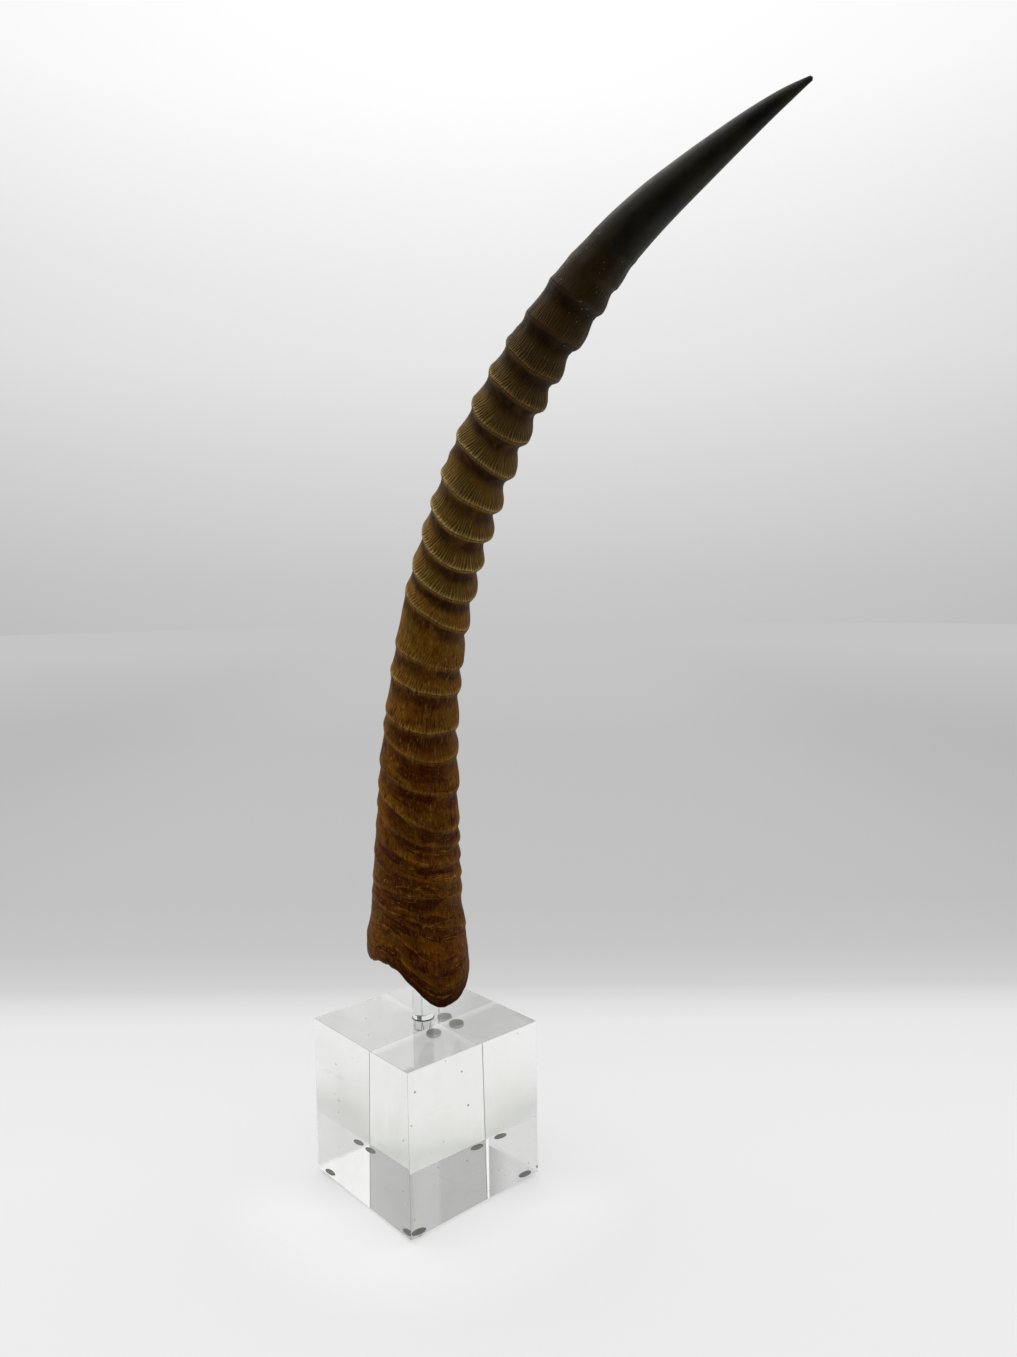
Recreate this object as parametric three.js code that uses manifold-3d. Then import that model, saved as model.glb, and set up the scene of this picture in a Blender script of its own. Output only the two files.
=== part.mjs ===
// An impala horn standing on a clear acrylic rod in a clear acrylic cube.
// Millimetres, +Z up. The group's origin is the middle of the whole object's footprint box, at the floor.
// +X runs along one side of the cube, roughly towards the side that the horn bends to.

import * as THREE from 'three';
import { mergeVertices } from 'three/addons/utils/BufferGeometryUtils.js';
import Module from 'manifold-3d';

const wasm = await Module();
wasm.setup();

const INCH = 25.4;
const DEGREE = Math.PI / 180;
const TOUCHING_GAP = 0.3;

// ---- the stand: a 3 inch cube, a 10 mm rod and four bumper feet ----

const CUBE_SIDE = 3 * INCH;
const CUBE_CHAMFER = 0.6;
const FOOT_DIAMETER = 8;
const FOOT_HEIGHT = 1.5;
const FOOT_CHAMFER = 0.3;
// stuck on by hand, so each sits a little differently in its corner
const FOOT_CENTRES = [[-30.5, -32.8], [32.9, -31.8], [32.2, 32.3], [-33, 30.4]];
const ROD_DIAMETER = 10;
const ROD_AT = [-2.6, 1.2];
const ROD_CHAMFER = 0.5;
const ROD_TOP = 166;
const BORE_DEPTH = 12;

const CUBE_BOTTOM = FOOT_HEIGHT + TOUCHING_GAP;
const CUBE_TOP = CUBE_BOTTOM + CUBE_SIDE;
const ROD_RADIUS = ROD_DIAMETER / 2;
const BORE_RADIUS = ROD_RADIUS + TOUCHING_GAP;
const BORE_FLOOR = CUBE_TOP - BORE_DEPTH;
const ROD_BOTTOM = BORE_FLOOR + TOUCHING_GAP;

// ---- the horn's axis: nearly straight at the base, then an even arc in one upright plane ----
// A station is the distance along the axis from the lowest point of the rim.

const HORN_LENGTH = 448;
const AXIS_START = { reach: -2.0, height: 90.3 };
const BEND_AZIMUTH = 13.2 * DEGREE;
const START_LEAN = -3.2 * DEGREE;
const BEND_STATION = 118;
const BEND_RADIUS = 252;
const BEND_EASE = 57;
const SWAY_START = 360;
const TIP_SWAY = 1.3;

// station, radius in the valleys between the rings
const GIRTH = [
  [0, 24.8], [22, 24.1], [44, 21.4], [84, 18.5], [124, 16.7], [164, 15.2], [217, 13.5],
  [262, 12.8], [304, 11.9], [344, 10.9], [381, 8.6], [416, 5.35], [437, 2.75], [HORN_LENGTH, 0.8],
];
// the lower part is fuller on the side where the rings stand proud
const FULLNESS = { station: 85, halfLength: 36, height: 1.2 };

// station of each ring's crest, and how far it stands out of the valley below it
const RINGS = [
  [42, 0.4], [55, 0.5], [65, 0.6], [75, 0.6], [85, 0.7], [95, 0.8], [109, 1.1], [125, 1.1],
  [137, 1.2], [154, 1.3], [167, 1.2], [187.5, 1.6], [202, 1.9], [216.5, 2.2], [229.5, 2.4],
  [242.5, 2.4], [260, 2.5], [276, 2.5], [292, 2.4], [305, 2.1], [320.5, 1.6], [336, 1.4], [348, 0.6],
];
const LAST_RING_SPAN = 14;
const LOW_SIDE_SHARE = 0.9;
const SIDE_SWING = 0.25;
const PROUD_AZIMUTH = 35 * DEGREE;

// share of a ring's height, from its crest (0) up to the underside of the next crest (1)
const RING_PROFILE = [[0, 1], [0.15, 0.85], [0.35, 0.45], [0.5, 0.14], [0.66, 0], [0.8, 0.25], [0.92, 0.8], [1, 1]];
const RING_ROWS = [0, 0.28, 0.66, 0.86];

// station, slope of the ring planes: they drop towards DIP_AZIMUTH, measured from the bend side
const RING_DIP = [
  [29, 0.2], [59, 0.22], [95, 0.42], [130, 0.42], [160, 0.3], [190, 0.44], [214, 0.52], [230, 0.38],
  [243, 0.2], [260, 0.29], [278, 0.34], [305, 0.14], [336, -0.2], [370, -0.2], [HORN_LENGTH, 0],
];
const DIP_AZIMUTH = -18 * DEGREE;

// the rim: one deep lobe, and a high edge opposite it with a corner that hangs lower
const RIM_RISE = 25;
const LOBE_AZIMUTH = -21 * DEGREE;
const LOBE_WIDTHS = [45 * DEGREE, 72 * DEGREE];
const RIM_CORNER = { azimuth: -114 * DEGREE, drop: 4.2, halfWidth: 23 * DEGREE };

// the hollow: a thin wall at the rim, narrowing to a socket for the rod
const RIM_WALL = 2.6;
const RIM_EDGE = 0.8;
const HOLLOW_ROWS = 4;
const SOCKET_MOUTH = 138;
const SOCKET_RADIUS = ROD_RADIUS + TOUCHING_GAP;
const SOCKET_TOP = ROD_TOP + TOUCHING_GAP;

const HORN_COLUMNS = 32;
const BASE_ROWS = 3;
const TIP_ROWS = 12;
const FIRST_FULL_ROW = RINGS[0][0];

// A smooth curve through hand-set points, read at x.
function through(points, x) {
  const last = points.length - 1;
  let i = 0;
  while (i < last - 1 && x > points[i + 1][0]) i += 1;
  const slope = (k) => {
    const a = points[Math.max(k - 1, 0)];
    const b = points[Math.min(k + 1, last)];
    return (b[1] - a[1]) / (b[0] - a[0]);
  };
  const [x0, y0] = points[i];
  const [x1, y1] = points[i + 1];
  const span = x1 - x0;
  const t = THREE.MathUtils.clamp((x - x0) / span, 0, 1);
  const t2 = t * t;
  const t3 = t2 * t;
  return (2 * t3 - 3 * t2 + 1) * y0 + (t3 - 2 * t2 + t) * span * slope(i)
    + (3 * t2 - 2 * t3) * y1 + (t3 - t2) * span * slope(i + 1);
}

// The axis turns ever closer to an even arc, and near the tip it sways towards the bend side and back.
function heading(station) {
  const bend = (BEND_EASE / BEND_RADIUS) * Math.log1p(Math.exp((station - BEND_STATION) / BEND_EASE));
  const span = HORN_LENGTH - SWAY_START;
  const along = THREE.MathUtils.clamp((station - SWAY_START) / span, 0, 1);
  return START_LEAN + bend + ((Math.PI * TIP_SWAY) / span) * Math.sin(2 * Math.PI * along);
}

// The axis, stepped millimetre by millimetre: reach along the bend plane, and height.
const axisSteps = [{ ...AXIS_START }];
for (let station = 0; station < HORN_LENGTH; station += 1) {
  const { reach, height } = axisSteps[station];
  const angle = heading(station + 0.5);
  axisSteps.push({ reach: reach + Math.sin(angle), height: height + Math.cos(angle) });
}

function axisAt(station) {
  const s = THREE.MathUtils.clamp(station, 0, HORN_LENGTH - 1e-6);
  const i = Math.floor(s);
  const t = s - i;
  return {
    reach: THREE.MathUtils.lerp(axisSteps[i].reach, axisSteps[i + 1].reach, t),
    height: THREE.MathUtils.lerp(axisSteps[i].height, axisSteps[i + 1].height, t),
  };
}

// A point at a distance from the axis. Azimuth 0 is the side that the horn bends to.
function besideAxis(station, azimuth, radius) {
  const { reach, height } = axisAt(station);
  const angle = heading(station);
  const outward = radius * Math.cos(azimuth);
  const sideways = radius * Math.sin(azimuth);
  const along = reach + outward * Math.cos(angle);
  return new THREE.Vector3(
    ROD_AT[0] + along * Math.cos(BEND_AZIMUTH) - sideways * Math.sin(BEND_AZIMUTH),
    ROD_AT[1] + along * Math.sin(BEND_AZIMUTH) + sideways * Math.cos(BEND_AZIMUTH),
    height - outward * Math.sin(angle),
  );
}

function ringHeight(row, azimuth) {
  const index = RINGS.findLastIndex(([station]) => station <= row + 1e-6);
  if (index < 0) return 0;
  const [start, height] = RINGS[index];
  const next = RINGS[index + 1] ?? [start + LAST_RING_SPAN, 0];
  const t = (row - start) / (next[0] - start);
  if (t > 1) return 0;
  const share = LOW_SIDE_SHARE + SIDE_SWING * Math.cos(azimuth - PROUD_AZIMUTH);
  return height * share * through(RING_PROFILE, t);
}

function skinRadius(station, azimuth) {
  const { station: middle, halfLength, height } = FULLNESS;
  const fullness = height * Math.exp(-(((station - middle) / halfLength) ** 2));
  return through(GIRTH, station) + fullness * (0.5 + 0.5 * Math.cos(azimuth - PROUD_AZIMUTH));
}

function turnFrom(start, azimuth) {
  return THREE.MathUtils.euclideanModulo(azimuth - start + Math.PI, 2 * Math.PI) - Math.PI;
}

function rimStation(azimuth) {
  const turn = turnFrom(LOBE_AZIMUTH, azimuth);
  const width = turn < 0 ? LOBE_WIDTHS[0] : LOBE_WIDTHS[1];
  const rise = RIM_RISE * (1 - Math.exp(-((turn / width) ** 2)));
  const cornerTurn = turnFrom(RIM_CORNER.azimuth, azimuth);
  return rise - RIM_CORNER.drop * Math.exp(-((cornerTurn / RIM_CORNER.halfWidth) ** 2));
}

// A row of the skin is named by the station where its plane crosses the axis.
function rowStation(row, azimuth) {
  return row - through(GIRTH, row) * through(RING_DIP, row) * Math.cos(azimuth - DIP_AZIMUTH);
}

function skinPoint(row, azimuth) {
  const station = rowStation(row, azimuth);
  return besideAxis(station, azimuth, skinRadius(station, azimuth) + ringHeight(row, azimuth));
}

// Between the rim and the first ring the rows turn from the rim's line to the rings' planes.
function basePoint(share, azimuth) {
  const station = THREE.MathUtils.lerp(rimStation(azimuth), rowStation(FIRST_FULL_ROW, azimuth), share);
  return besideAxis(station, azimuth, skinRadius(station, azimuth));
}

function hornRings() {
  const azimuths = Array.from({ length: HORN_COLUMNS }, (_, i) => (i * 2 * Math.PI) / HORN_COLUMNS);
  const socketCircle = (height) => azimuths.map((azimuth) => new THREE.Vector3(
    ROD_AT[0] + SOCKET_RADIUS * Math.cos(azimuth + BEND_AZIMUTH),
    ROD_AT[1] + SOCKET_RADIUS * Math.sin(azimuth + BEND_AZIMUTH),
    height,
  ));
  const innerRim = azimuths.map((azimuth) => {
    const station = rimStation(azimuth) + RIM_EDGE;
    return besideAxis(station, azimuth, skinRadius(station, azimuth) - RIM_WALL);
  });
  const mouth = socketCircle(SOCKET_MOUTH);

  const rings = [socketCircle(SOCKET_TOP)];
  for (let k = HOLLOW_ROWS; k >= 0; k -= 1) {
    rings.push(innerRim.map((point, i) => point.clone().lerp(mouth[i], k / HOLLOW_ROWS)));
  }
  for (let k = 0; k < BASE_ROWS; k += 1) {
    rings.push(azimuths.map((azimuth) => basePoint(k / BASE_ROWS, azimuth)));
  }
  RINGS.forEach(([start], k) => {
    const end = RINGS[k + 1]?.[0] ?? start + LAST_RING_SPAN;
    for (const t of RING_ROWS) {
      const row = THREE.MathUtils.lerp(start, end, t);
      rings.push(azimuths.map((azimuth) => skinPoint(row, azimuth)));
    }
  });
  const tipStart = RINGS.at(-1)[0] + LAST_RING_SPAN;
  for (let k = 0; k < TIP_ROWS; k += 1) {
    const row = THREE.MathUtils.lerp(tipStart, HORN_LENGTH, k / (TIP_ROWS - 1));
    rings.push(azimuths.map((azimuth) => skinPoint(row, azimuth)));
  }
  return rings;
}

// One closed skin over a stack of rings, with a point at each end.
function closedSkin(rings, firstPole, lastPole) {
  const count = rings[0].length;
  const positions = [firstPole, ...rings.flat(), lastPole].flatMap((p) => [p.x, p.y, p.z]);
  const lastIndex = positions.length / 3 - 1;
  const at = (ring, i) => 1 + ring * count + (i % count);
  const index = [];
  for (let i = 0; i < count; i += 1) {
    index.push(0, at(0, i + 1), at(0, i));
    index.push(lastIndex, at(rings.length - 1, i), at(rings.length - 1, i + 1));
  }
  for (let ring = 0; ring < rings.length - 1; ring += 1) {
    for (let i = 0; i < count; i += 1) {
      index.push(at(ring, i), at(ring, i + 1), at(ring + 1, i));
      index.push(at(ring, i + 1), at(ring + 1, i + 1), at(ring + 1, i));
    }
  }
  const geometry = new THREE.BufferGeometry();
  geometry.setAttribute('position', new THREE.Float32BufferAttribute(positions, 3));
  geometry.setIndex(index);
  geometry.computeVertexNormals();
  return geometry;
}

function hornGeometry() {
  const socketEnd = new THREE.Vector3(ROD_AT[0], ROD_AT[1], SOCKET_TOP);
  return closedSkin(hornRings(), socketEnd, besideAxis(HORN_LENGTH, 0, 0));
}

function toSolid(geometry) {
  const bare = geometry.clone();
  bare.deleteAttribute('normal');
  bare.deleteAttribute('uv');
  const merged = mergeVertices(bare, 1e-4);
  return new wasm.Manifold(new wasm.Mesh({
    numProp: 3,
    vertProperties: new Float32Array(merged.attributes.position.array),
    triVerts: new Uint32Array(merged.index.array),
  }));
}

function fromSolid(solid) {
  const mesh = solid.getMesh();
  const geometry = new THREE.BufferGeometry();
  geometry.setAttribute('position', new THREE.BufferAttribute(mesh.vertProperties, 3));
  geometry.setIndex(new THREE.BufferAttribute(mesh.triVerts, 1));
  geometry.computeVertexNormals();
  return geometry;
}

// A square block with small chamfers on all edges, and the blind bore for the rod.
function cubeGeometry() {
  const half = CUBE_SIDE / 2 - CUBE_CHAMFER;
  const outline = new THREE.Shape();
  outline.moveTo(-half, -half);
  outline.lineTo(half, -half);
  outline.lineTo(half, half);
  outline.lineTo(-half, half);
  outline.closePath();
  const block = new THREE.ExtrudeGeometry(outline, {
    depth: CUBE_SIDE - 2 * CUBE_CHAMFER,
    bevelThickness: CUBE_CHAMFER,
    bevelSize: CUBE_CHAMFER,
    bevelSegments: 1,
  });
  block.translate(0, 0, CUBE_BOTTOM + CUBE_CHAMFER);
  const bore = new THREE.CylinderGeometry(BORE_RADIUS, BORE_RADIUS, 2 * BORE_DEPTH, 48);
  bore.rotateX(Math.PI / 2);
  bore.translate(ROD_AT[0], ROD_AT[1], CUBE_TOP);
  return fromSolid(toSolid(block).subtract(toSolid(bore)));
}

// A round bar or disc with chamfered edges, its underside at height zero.
function discGeometry(radius, height, chamfer, segments) {
  const profile = [
    new THREE.Vector2(0, 0),
    new THREE.Vector2(radius - chamfer, 0),
    new THREE.Vector2(radius, chamfer),
    new THREE.Vector2(radius, height - chamfer),
    new THREE.Vector2(radius - chamfer, height),
    new THREE.Vector2(0, height),
  ];
  return new THREE.LatheGeometry(profile, segments).rotateX(Math.PI / 2);
}

const hornMaterial = new THREE.MeshStandardMaterial({ color: 0x4a3617, roughness: 0.55, metalness: 0 });
const acrylicMaterial = new THREE.MeshStandardMaterial({
  color: 0xf2f5f4, roughness: 0.03, metalness: 0, transparent: true, opacity: 0.3,
});
const rodMaterial = acrylicMaterial.clone();
const rubberMaterial = new THREE.MeshStandardMaterial({ color: 0x6e706a, roughness: 0.8, metalness: 0 });

function namedMesh(name, geometry, material) {
  const mesh = new THREE.Mesh(geometry, material);
  mesh.name = name;
  return mesh;
}

const object = new THREE.Group();
object.add(namedMesh('horn', hornGeometry(), hornMaterial));
object.add(namedMesh('stand_cube', cubeGeometry(), acrylicMaterial));

const rod = namedMesh(
  'stand_rod',
  discGeometry(ROD_RADIUS, ROD_TOP - ROD_BOTTOM, ROD_CHAMFER, 48),
  rodMaterial,
);
rod.position.set(ROD_AT[0], ROD_AT[1], ROD_BOTTOM);
object.add(rod);

FOOT_CENTRES.forEach(([x, y], i) => {
  const foot = namedMesh(
    `foot_${i + 1}`,
    discGeometry(FOOT_DIAMETER / 2, FOOT_HEIGHT, FOOT_CHAMFER, 32),
    rubberMaterial.clone(),
  );
  foot.position.set(x, y, 0);
  object.add(foot);
});

// The whole object moves so that its footprint box is centred on the origin.
const footprint = new THREE.Box3().setFromObject(object, true).getCenter(new THREE.Vector3());
object.position.set(-footprint.x, -footprint.y, 0);

const group = new THREE.Group();
group.add(object);

export default group;
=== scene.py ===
"""An impala horn on its clear acrylic stand: the looks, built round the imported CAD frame. Metres, +Z up."""

import functools
import math

import bmesh
import bpy
import numpy as np
from mathutils import Matrix, Vector


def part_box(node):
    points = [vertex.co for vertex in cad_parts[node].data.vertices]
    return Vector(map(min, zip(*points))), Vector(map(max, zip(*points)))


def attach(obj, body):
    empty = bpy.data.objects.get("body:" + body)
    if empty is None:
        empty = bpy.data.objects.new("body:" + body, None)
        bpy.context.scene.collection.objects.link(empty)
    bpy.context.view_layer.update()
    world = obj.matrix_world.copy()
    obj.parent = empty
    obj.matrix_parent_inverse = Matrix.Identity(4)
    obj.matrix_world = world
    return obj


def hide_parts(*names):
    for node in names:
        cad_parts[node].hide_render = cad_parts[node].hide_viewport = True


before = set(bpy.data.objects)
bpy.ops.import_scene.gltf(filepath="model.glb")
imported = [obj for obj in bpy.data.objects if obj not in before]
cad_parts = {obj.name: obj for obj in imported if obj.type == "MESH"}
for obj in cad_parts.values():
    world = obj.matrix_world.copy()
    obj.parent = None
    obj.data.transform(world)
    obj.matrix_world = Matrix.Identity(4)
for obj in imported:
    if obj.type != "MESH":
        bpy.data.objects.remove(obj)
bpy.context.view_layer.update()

MM = 0.001
FULL_TURN = 2 * math.pi
scene = bpy.context.scene

# ---- where things are: everything is placed from the cube's upright axis, as the CAD does ----

cube_low, cube_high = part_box("stand_cube")
rod_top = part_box("stand_rod")[1].z
STAND_AT = ((cube_low + cube_high) / 2).to_2d().to_3d()
ROD_OFFSET = (-2.6, 1.2)
ROD_CENTRE = (STAND_AT.x + ROD_OFFSET[0] * MM, STAND_AT.y + ROD_OFFSET[1] * MM)


def in_row_frame(points):
    """Millimetres from the stand's axis at the floor, to metres in the row frame."""
    return np.asarray(points) * MM + np.array(STAND_AT)


# ---- colours, and short calls for building nodes ----


def srgb(red, green, blue):
    """A colour given as it looks on a screen, 0 to 255, as the shader's linear numbers."""
    levels = [level / 255 for level in (red, green, blue)]
    return (*(((c + 0.055) / 1.055) ** 2.4 if c > 0.04045 else c / 12.92 for c in levels), 1.0)


def grey(level):
    return (level, level, level, 1.0)


class Tree:
    """Short calls for the nodes used here. A value is a number, a tuple or another node's output."""

    def __init__(self, owner):
        owner.use_nodes = True
        self.nodes, self.links = owner.node_tree.nodes, owner.node_tree.links
        self.nodes.clear()

    def put(self, socket, value):
        if isinstance(value, bpy.types.NodeSocket):
            self.links.new(value, socket)
        else:
            socket.default_value = value

    def add(self, kind, inputs=None, output=0, **settings):
        node = self.nodes.new(kind)
        for name, value in settings.items():
            setattr(node, name, value)
        for key, value in (inputs or {}).items():
            self.put(node.inputs[key], value)
        return node.outputs[output]

    def finish(self, kind, surface):
        self.put(self.nodes.new(kind).inputs["Surface"], surface)

    def cover(self, inputs):
        """Ends a material with one Principled surface."""
        self.finish("ShaderNodeOutputMaterial", self.add("ShaderNodeBsdfPrincipled", inputs))

    def math(self, operation, a, b=0.0):
        return self.add("ShaderNodeMath", {0: a, 1: b}, operation=operation)

    def times(self, *values):
        return functools.reduce(lambda a, b: self.math("MULTIPLY", a, b), values)

    def plus(self, *values):
        return functools.reduce(lambda a, b: self.math("ADD", a, b), values)

    def vector(self, operation, a, b=(0.0, 0.0, 0.0)):
        output = "Value" if operation in ("DOT_PRODUCT", "LENGTH") else "Vector"
        return self.add("ShaderNodeVectorMath", {0: a, 1: b}, output, operation=operation)

    def spread(self, value, low, high, to_low=0.0, to_high=1.0, easing="LINEAR"):
        """Where the value lies from low to high, spread from to_low to to_high and held beyond them."""
        inputs = {0: value, 1: low, 2: high, 3: to_low, 4: to_high}
        return self.add("ShaderNodeMapRange", inputs, interpolation_type=easing)

    def step(self, value, low, high, to_low=0.0, to_high=1.0):
        """The same, eased at both ends."""
        return self.spread(value, low, high, to_low, to_high, "SMOOTHSTEP")

    def blend(self, share, a, b):
        return self.add("ShaderNodeMix", {0: share, 2: a, 3: b}, 0, data_type="FLOAT")

    def mix(self, share, a, b, blend="MIX"):
        return self.add("ShaderNodeMix", {0: share, 6: a, 7: b}, 2, data_type="RGBA", blend_type=blend)

    def tinted(self, colour, tint):
        return self.mix(1.0, colour, tint, "MULTIPLY")

    def ramp(self, value, stops):
        """A ramp through stops of (place, grey level) or (place, red, green, blue) in linear numbers."""
        node = self.nodes.new("ShaderNodeValToRGB")
        self.links.new(value, node.inputs[0])
        elements = node.color_ramp.elements
        elements.remove(elements[1])
        for i, (place, *tone) in enumerate(stops):
            element = elements.new(place) if i else elements[0]
            element.position = place
            element.color = (*tone, 1.0) if len(tone) == 3 else grey(*tone)
        return node.outputs[0]

    def screen_ramp(self, value, stops):
        """The same, with colours as they look on a screen, 0 to 255."""
        return self.ramp(value, [(place, *srgb(*colour)[:3]) for place, *colour in stops])

    def noise(self, vector, scale, detail, roughness, distortion=0.0):
        inputs = {"Vector": vector, "Scale": scale, "Detail": detail, "Roughness": roughness}
        return self.add("ShaderNodeTexNoise", {**inputs, "Distortion": distortion})

    def stretched(self, base, around, along, detail, roughness, distortion=0.0):
        """Noise whose scale across the horn or rod differs from its scale along it."""
        place = self.vector("MULTIPLY", base, (around, around, along))
        return self.noise(place, 1.0, detail, roughness, distortion)

    def dots(self, vector, scale):
        """The distance to the nearest of some scattered points."""
        inputs = {"Vector": vector, "Scale": scale, "Randomness": 1.0}
        return self.add("ShaderNodeTexVoronoi", inputs, "Distance")

    def attribute(self, name, output="Fac"):
        return self.add("ShaderNodeAttribute", output=output, attribute_name=name)


def new_material(name):
    material = bpy.data.materials.new(name)
    return material, Tree(material)


# ---- the horn's form, in millimetres: the CAD's axis, girth and rim, with rings fitted again ----

# stations are distances along the axis from the rim's lowest point; a row is one before the rings dip
HORN_LENGTH = 448
AXIS_REACH = -2.0
AXIS_HEIGHT = 90.3
BEND_AZIMUTH = math.radians(13.2)
START_LEAN = math.radians(-3.2)
BEND_STATION = 118
BEND_RADIUS = 252
BEND_EASE = 57
SWAY_START = 360
TIP_SWAY = 1.3
BELOW_RIM = 6

# station, radius
GIRTH = [
    (0, 24.8), (22, 24.1), (44, 21.4), (84, 18.5), (124, 16.7), (164, 15.2), (217, 13.5),
    (262, 12.8), (304, 11.9), (344, 10.9), (381, 8.6), (416, 5.35), (437, 2.75), (448, 0.8),
]
# a fullness of the proud side: its middle, half-length and height
FULLNESS = (85, 36, 1.2)

# azimuths round the horn, from the side that it bends to
PROUD_AZIMUTH = math.radians(35)
FRONT_AZIMUTH = math.radians(-55)
STAIN_AZIMUTH = math.radians(-48)
PAINTED_SHEEN_AZIMUTH = math.radians(-145)

# station, height, how steeply the crest's plane dips, the azimuth in degrees that it dips towards, and the
# strength of its pale line, which is partly wear and partly painted highlight; the first and the last two are
# no rings, but say how the rows between them dip
RINGS = [
    (26, 0, 0.40, 36, 0), (42.3, 0.5, 0.40, 36, 0.3), (55, 0.6, 0.20, 19, 0.4),
    (65, 0.6, 0.34, 12, 0.08), (75, 0.65, 0.45, 8, 0.1), (85, 0.8, 0.55, 5, 0.12),
    (94.7, 1.1, 0.62, 3, 0.3), (109.3, 1.3, 0.50, -7, 0.4), (125.9, 1.3, 0.54, -26, 0.45),
    (136.7, 1.3, 0.36, -22, 0.6), (154, 1.4, 0.32, -28, 0.6), (166.7, 1.2, 0.30, -17, 0.3),
    (187.6, 1.6, 0.46, -2, 0.55), (202.6, 1.9, 0.52, -18, 0.8), (216.6, 2.2, 0.54, -22, 0.9),
    (230.1, 2.5, 0.42, -17, 1), (243.1, 2.5, 0.27, -2, 0.9), (260.9, 2.6, 0.35, -3, 1),
    (276.6, 2.6, 0.38, -24, 0.9), (292.1, 2.5, 0.27, -20, 0.8), (305.1, 2.1, 0.15, 4, 0.6),
    (320.4, 1.6, 0.14, 136, 0.12), (336, 1.4, 0.2, 160, 0.05), (348, 0.6, 0.2, 170, 0),
    (362, 0, 0.1, 172, 0), (448, 0, 0, 172, 0),
]
FIRST_FULL_ROW = RINGS[1][0]
LAST_SPAN_END = RINGS[-2][0]
LAST_SHADED_ROW = RINGS[-4][0]
# stands for a distance to a crest where there is none
FAR = 99

# share of a ring's height from its crest (0) to the next (1): a flare with a sharp step, and a round bulge
FLARED = [
    (0, 1), (0.06, 0.88), (0.15, 0.64), (0.3, 0.34), (0.45, 0.12), (0.58, 0.02), (0.68, 0),
    (0.78, 0.14), (0.87, 0.48), (0.95, 0.88), (1, 1),
]
ROUNDED = [
    (0, 1), (0.12, 0.96), (0.25, 0.8), (0.37, 0.5), (0.48, 0.22), (0.6, 0.03), (0.68, 0),
    (0.76, 0.1), (0.86, 0.6), (0.94, 0.93), (1, 1),
]
PROFILE_LIMIT = 1.05
PLAIN_ROUNDNESS = 0.3
PROUD_ROUNDNESS = 0.55
TEMPER = 0.3
TEMPER_SEED = 11
NEXT_RING_SHARE = 0.7
LOW_SIDE_SHARE = 0.98
SIDE_SWING = 0.28
FRONT_EXTRA = 0.06
CREST_CURL = -0.01

# swellings that reach only part of the way round: row, azimuth, height, half-length, half-width
SWELLINGS = [
    (252.5, -150, 1.0, 2.6, 42), (326, 25, 0.9, 5.0, 55), (312, -150, 0.5, 3.0, 40),
    (176, 40, 0.7, 4.0, 60), (118, 38, 0.8, 5.0, 40), (102, 35, 0.5, 3.0, 40),
    (145, 30, 0.4, 3.0, 50), (343, -150, 0.5, 4.0, 45), (180, -120, 0.7, 5.0, 35),
    (9, -150, 1.2, 9.0, 38), (147, -95, 0.5, 3.5, 30), (118, -100, 0.6, 4.5, 25),
    (72, -60, 0.5, 6.0, 28),
]

# layers of cell noise: strength, cells round the horn, their length in mm, seed
FRAY = [(0.7, 34, 500, 3), (0.55, 85, 500, 4)]
ROUNDNESS_DRIFT = [(0.25, 7, 16, 12)]
HEIGHT_DRIFT = [(0.1, 9, 19, 13)]
STRIAE_LAYERS = [(0.62, 84, 34, 21), (0.38, 120, 22, 22)]
LUMPS = [(0.26, 8, 30, 31), (0.16, 22, 9, 32)]
GROWTH = [(0.13, 9, 2.3, 33), (0.09, 26, 3.5, 34)]
WAVE = [(1.0, 6, 13, 41), (0.4, 17, 8, 42)]
HOLLOW_CELLS = (16, 9, 51)
NOISE_START = -20
NOISE_LENGTH = 520

# rows between which a detail comes in: none of it at the first, all of it at the second
CURL_FROM, CURL_TO = (150, 190), (335, 300)
WAVE_FROM, WAVE_TO = (12, 40), (350, 325)
FRINGE_FROM, FRINGE_TO = (110, 150), (352, 325)
STRIAE_TO = (365, 330)
NOTCH_TO = (345, 320)
LUMPS_TO = (400, 330)
GROWTH_TO = (120, 60)

# striae, the lengthwise grooves: how far above a crest they reach, how deep they are, how they notch it
STRIAE_REACH = 7.2
BIG_RING = (1.45, 2.2)
FRINGE_SHARES = (0.12, 0.34, 0.88)
STRIAE_DEPTHS = (0.02, 0.05, 0.01)
NOTCH_DEPTH = 0.28
NOTCH_HALF_LENGTH = 1.3
SMALL_RING_NOTCH = 0.3
TIP_LUMPS = 0.15
LEAN_REACH = 10
LEAN_END = (1.0, 0.62)

RIM_RISE = 25
LOBE_AZIMUTH = math.radians(-21)
LOBE_WIDTHS = (math.radians(45), math.radians(72))
RIM_CORNER = (math.radians(-114), 4.2, math.radians(23))
FRAYED_EDGE = (12, 24)
LOBE_FRAY = 0.35
FRAY_RISE = 0.35
RAGGED_EDGE = (13, 22)
RAGGED_HALF_LENGTH = 1.6
RIM_ROUNDING = 0.5
RIM_ROUNDING_LENGTH = 0.7
RIM_WALL = 2.6
RIM_EDGE = 0.8
LIP_RISE = 0.15
LIP_WALL = 1.5
SOCKET_MOUTH = 138
SOCKET_RADIUS = 5.3
SOCKET_TOP = 166.3
HOLLOW_DEPTH = 60
HOLLOW_WOBBLE = 0.02

COLUMNS = 240
RIM_ROWS = [0.0, 0.5, 1.2, 2.2]
BASE_START = 3.4
BASE_ROWS = 22
ABOVE_CREST = (0, 0.5, 1.1, 1.9, 3.0)
BELOW_CREST = (3.4, 2.5, 1.75, 1.1, 0.5)
FULL_SPAN = 15
PLAIN_STEP = 1.75
TIP_STEP = 2.5
TIP_POINT = 0.6
HOLLOW_ROWS = 12


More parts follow.
